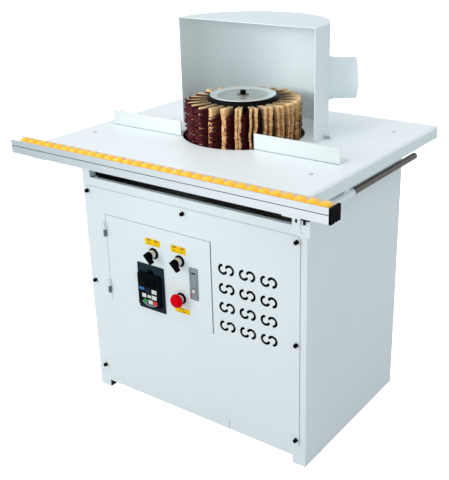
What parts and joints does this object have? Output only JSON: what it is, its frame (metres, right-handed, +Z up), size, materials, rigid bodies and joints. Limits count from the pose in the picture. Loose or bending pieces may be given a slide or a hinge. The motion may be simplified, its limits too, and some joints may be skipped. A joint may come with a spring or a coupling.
{
  "type": "brush sanding machine",
  "caption": "Floor standing sander with an upright brush drum in a table hole, dust hood, roller rail on slide rods and an electrical door.",
  "frame": {"origin": "on the floor, under the middle of the whole machine's box", "axes": "+Z up, +X along the roller rail to the operator's right, -Y towards the operator"},
  "size_m": [1.072, 0.792, 1.165],
  "materials": {
    "white_paint": "satin powder coat",
    "black_plastic": "satin",
    "red_plastic": "gloss",
    "zinc_metal": "satin",
    "chromed_steel": "polished",
    "aluminium_profile": "anodised",
    "yellow_plastic": "satin",
    "black_steel": "black oxide",
    "bright_steel": "turned",
    "tan_bristle": "natural fibre",
    "maroon_cloth": "grit",
    "grey_cast_iron": "painted casting"
  },
  "bodies": {
    "cabinet": {"cabinet_body": "white_paint", "front_panel": "white_paint", "table_top": "white_paint", "dust_hood": "white_paint", "work_fences": "white_paint", "guide_sleeves": "white_paint", "hinge_pins": "zinc_metal", "motor_deck": "bright_steel", "drive_motor": "grey_cast_iron", "spindle_bearing": "grey_cast_iron"},
    "brush": {"motor_shaft": "bright_steel", "brush_hub": "black_steel", "abrasive_strips": "maroon_cloth", "brush_bristles": "tan_bristle", "clamp_flange": "bright_steel", "clamp_bolt": "black_steel"},
    "door": {"electrical_door": "white_paint", "switch_bezels": "black_plastic", "inverter_drive": "black_plastic", "latch_plate": "zinc_metal"},
    "rail": {"rail_profile": "aluminium_profile", "rail_end_cap": "black_plastic", "slide_rods": "chromed_steel", "rail_brackets": "white_paint"},
    "latch_handle": {"latch_handle": "zinc_metal"},
    "lock_button": {"lock_button": "zinc_metal"},
    "selector_knob_left": {"selector_knob_left": "black_plastic"},
    "selector_knob_right": {"selector_knob_right": "black_plastic"},
    "estop_button": {"estop_button": "red_plastic"},
    "rail_wheel_01": {"rail_wheel_01": "yellow_plastic"},
    "rail_wheel_02": {"rail_wheel_02": "yellow_plastic"},
    "rail_wheel_03": {"rail_wheel_03": "yellow_plastic"},
    "rail_wheel_04": {"rail_wheel_04": "yellow_plastic"},
    "rail_wheel_05": {"rail_wheel_05": "yellow_plastic"},
    "rail_wheel_06": {"rail_wheel_06": "yellow_plastic"},
    "rail_wheel_07": {"rail_wheel_07": "yellow_plastic"},
    "rail_wheel_08": {"rail_wheel_08": "yellow_plastic"},
    "rail_wheel_09": {"rail_wheel_09": "yellow_plastic"},
    "rail_wheel_10": {"rail_wheel_10": "yellow_plastic"},
    "rail_wheel_11": {"rail_wheel_11": "yellow_plastic"},
    "rail_wheel_12": {"rail_wheel_12": "yellow_plastic"},
    "rail_wheel_13": {"rail_wheel_13": "yellow_plastic"},
    "rail_wheel_14": {"rail_wheel_14": "yellow_plastic"},
    "rail_wheel_15": {"rail_wheel_15": "yellow_plastic"},
    "rail_wheel_16": {"rail_wheel_16": "yellow_plastic"},
    "rail_wheel_17": {"rail_wheel_17": "yellow_plastic"},
    "rail_wheel_18": {"rail_wheel_18": "yellow_plastic"},
    "rail_wheel_19": {"rail_wheel_19": "yellow_plastic"},
    "rail_wheel_20": {"rail_wheel_20": "yellow_plastic"},
    "rail_wheel_21": {"rail_wheel_21": "yellow_plastic"},
    "rail_wheel_22": {"rail_wheel_22": "yellow_plastic"},
    "rail_wheel_23": {"rail_wheel_23": "yellow_plastic"},
    "rail_wheel_24": {"rail_wheel_24": "yellow_plastic"},
    "rail_wheel_25": {"rail_wheel_25": "yellow_plastic"},
    "rail_wheel_26": {"rail_wheel_26": "yellow_plastic"},
    "rail_wheel_27": {"rail_wheel_27": "yellow_plastic"},
    "rail_wheel_28": {"rail_wheel_28": "yellow_plastic"},
    "rail_wheel_29": {"rail_wheel_29": "yellow_plastic"},
    "rail_wheel_30": {"rail_wheel_30": "yellow_plastic"},
    "rail_wheel_31": {"rail_wheel_31": "yellow_plastic"}
  },
  "joints": [
    {"name": "brush_spin", "type": "hinge", "parent": "cabinet", "child": "brush", "pos_m": [0, 0.023, 0.874], "axis": [0, 0, 1], "continuous": true},
    {"name": "rail_slide", "type": "slide", "parent": "cabinet", "child": "rail", "axis": [0, -1, 0], "range_m": [0, 0.3]},
    {"name": "door_hinge", "type": "hinge", "parent": "cabinet", "child": "door", "pos_m": [-0.31275, -0.2695, 0.4755], "axis": [0, 0, -1], "range_deg": [0, 110]},
    {"name": "latch_swing", "type": "hinge", "parent": "door", "child": "latch_handle", "pos_m": [0.023, -0.2645, 0.5155], "axis": [-1, 0, 0], "range_deg": [0, 35]},
    {"name": "lock_press", "type": "slide", "parent": "door", "child": "lock_button", "axis": [0, 1, 0], "range_m": [0, 0.004], "stiffness_N_per_m": 1500},
    {"name": "selector_turn_left", "type": "hinge", "parent": "door", "child": "selector_knob_left", "pos_m": [-0.1245, -0.2845, 0.533], "axis": [0, 1, 0], "range_deg": [0, 90]},
    {"name": "selector_turn_right", "type": "hinge", "parent": "door", "child": "selector_knob_right", "pos_m": [-0.0265, -0.2845, 0.533], "axis": [0, 1, 0], "range_deg": [0, 90]},
    {"name": "estop_press", "type": "slide", "parent": "door", "child": "estop_button", "axis": [0, 1, 0], "range_m": [0, 0.005], "stiffness_N_per_m": 2000},
    {"name": "rail_wheel_01_spin", "type": "hinge", "parent": "rail", "child": "rail_wheel_01", "pos_m": [-0.499, -0.3735, 0.836], "axis": [0, 1, 0], "continuous": true},
    {"name": "rail_wheel_02_spin", "type": "hinge", "parent": "rail", "child": "rail_wheel_02", "pos_m": [-0.46545, -0.3735, 0.836], "axis": [0, 1, 0], "continuous": true},
    {"name": "rail_wheel_03_spin", "type": "hinge", "parent": "rail", "child": "rail_wheel_03", "pos_m": [-0.4319, -0.3735, 0.836], "axis": [0, 1, 0], "continuous": true},
    {"name": "rail_wheel_04_spin", "type": "hinge", "parent": "rail", "child": "rail_wheel_04", "pos_m": [-0.39835, -0.3735, 0.836], "axis": [0, 1, 0], "continuous": true},
    {"name": "rail_wheel_05_spin", "type": "hinge", "parent": "rail", "child": "rail_wheel_05", "pos_m": [-0.3648, -0.3735, 0.836], "axis": [0, 1, 0], "continuous": true},
    {"name": "rail_wheel_06_spin", "type": "hinge", "parent": "rail", "child": "rail_wheel_06", "pos_m": [-0.33125, -0.3735, 0.836], "axis": [0, 1, 0], "continuous": true},
    {"name": "rail_wheel_07_spin", "type": "hinge", "parent": "rail", "child": "rail_wheel_07", "pos_m": [-0.2977, -0.3735, 0.836], "axis": [0, 1, 0], "continuous": true},
    {"name": "rail_wheel_08_spin", "type": "hinge", "parent": "rail", "child": "rail_wheel_08", "pos_m": [-0.26415, -0.3735, 0.836], "axis": [0, 1, 0], "continuous": true},
    {"name": "rail_wheel_09_spin", "type": "hinge", "parent": "rail", "child": "rail_wheel_09", "pos_m": [-0.2306, -0.3735, 0.836], "axis": [0, 1, 0], "continuous": true},
    {"name": "rail_wheel_10_spin", "type": "hinge", "parent": "rail", "child": "rail_wheel_10", "pos_m": [-0.19705, -0.3735, 0.836], "axis": [0, 1, 0], "continuous": true},
    {"name": "rail_wheel_11_spin", "type": "hinge", "parent": "rail", "child": "rail_wheel_11", "pos_m": [-0.1635, -0.3735, 0.836], "axis": [0, 1, 0], "continuous": true},
    {"name": "rail_wheel_12_spin", "type": "hinge", "parent": "rail", "child": "rail_wheel_12", "pos_m": [-0.12995, -0.3735, 0.836], "axis": [0, 1, 0], "continuous": true},
    {"name": "rail_wheel_13_spin", "type": "hinge", "parent": "rail", "child": "rail_wheel_13", "pos_m": [-0.0964, -0.3735, 0.836], "axis": [0, 1, 0], "continuous": true},
    {"name": "rail_wheel_14_spin", "type": "hinge", "parent": "rail", "child": "rail_wheel_14", "pos_m": [-0.06285, -0.3735, 0.836], "axis": [0, 1, 0], "continuous": true},
    {"name": "rail_wheel_15_spin", "type": "hinge", "parent": "rail", "child": "rail_wheel_15", "pos_m": [-0.0293, -0.3735, 0.836], "axis": [0, 1, 0], "continuous": true},
    {"name": "rail_wheel_16_spin", "type": "hinge", "parent": "rail", "child": "rail_wheel_16", "pos_m": [0.00425, -0.3735, 0.836], "axis": [0, 1, 0], "continuous": true},
    {"name": "rail_wheel_17_spin", "type": "hinge", "parent": "rail", "child": "rail_wheel_17", "pos_m": [0.0378, -0.3735, 0.836], "axis": [0, 1, 0], "continuous": true},
    {"name": "rail_wheel_18_spin", "type": "hinge", "parent": "rail", "child": "rail_wheel_18", "pos_m": [0.07135, -0.3735, 0.836], "axis": [0, 1, 0], "continuous": true},
    {"name": "rail_wheel_19_spin", "type": "hinge", "parent": "rail", "child": "rail_wheel_19", "pos_m": [0.1049, -0.3735, 0.836], "axis": [0, 1, 0], "continuous": true},
    {"name": "rail_wheel_20_spin", "type": "hinge", "parent": "rail", "child": "rail_wheel_20", "pos_m": [0.13845, -0.3735, 0.836], "axis": [0, 1, 0], "continuous": true},
    {"name": "rail_wheel_21_spin", "type": "hinge", "parent": "rail", "child": "rail_wheel_21", "pos_m": [0.172, -0.3735, 0.836], "axis": [0, 1, 0], "continuous": true},
    {"name": "rail_wheel_22_spin", "type": "hinge", "parent": "rail", "child": "rail_wheel_22", "pos_m": [0.20555, -0.3735, 0.836], "axis": [0, 1, 0], "continuous": true},
    {"name": "rail_wheel_23_spin", "type": "hinge", "parent": "rail", "child": "rail_wheel_23", "pos_m": [0.2391, -0.3735, 0.836], "axis": [0, 1, 0], "continuous": true},
    {"name": "rail_wheel_24_spin", "type": "hinge", "parent": "rail", "child": "rail_wheel_24", "pos_m": [0.27265, -0.3735, 0.836], "axis": [0, 1, 0], "continuous": true},
    {"name": "rail_wheel_25_spin", "type": "hinge", "parent": "rail", "child": "rail_wheel_25", "pos_m": [0.3062, -0.3735, 0.836], "axis": [0, 1, 0], "continuous": true},
    {"name": "rail_wheel_26_spin", "type": "hinge", "parent": "rail", "child": "rail_wheel_26", "pos_m": [0.33975, -0.3735, 0.836], "axis": [0, 1, 0], "continuous": true},
    {"name": "rail_wheel_27_spin", "type": "hinge", "parent": "rail", "child": "rail_wheel_27", "pos_m": [0.3733, -0.3735, 0.836], "axis": [0, 1, 0], "continuous": true},
    {"name": "rail_wheel_28_spin", "type": "hinge", "parent": "rail", "child": "rail_wheel_28", "pos_m": [0.40685, -0.3735, 0.836], "axis": [0, 1, 0], "continuous": true},
    {"name": "rail_wheel_29_spin", "type": "hinge", "parent": "rail", "child": "rail_wheel_29", "pos_m": [0.4404, -0.3735, 0.836], "axis": [0, 1, 0], "continuous": true},
    {"name": "rail_wheel_30_spin", "type": "hinge", "parent": "rail", "child": "rail_wheel_30", "pos_m": [0.47395, -0.3735, 0.836], "axis": [0, 1, 0], "continuous": true},
    {"name": "rail_wheel_31_spin", "type": "hinge", "parent": "rail", "child": "rail_wheel_31", "pos_m": [0.5075, -0.3735, 0.836], "axis": [0, 1, 0], "continuous": true}
  ]
}
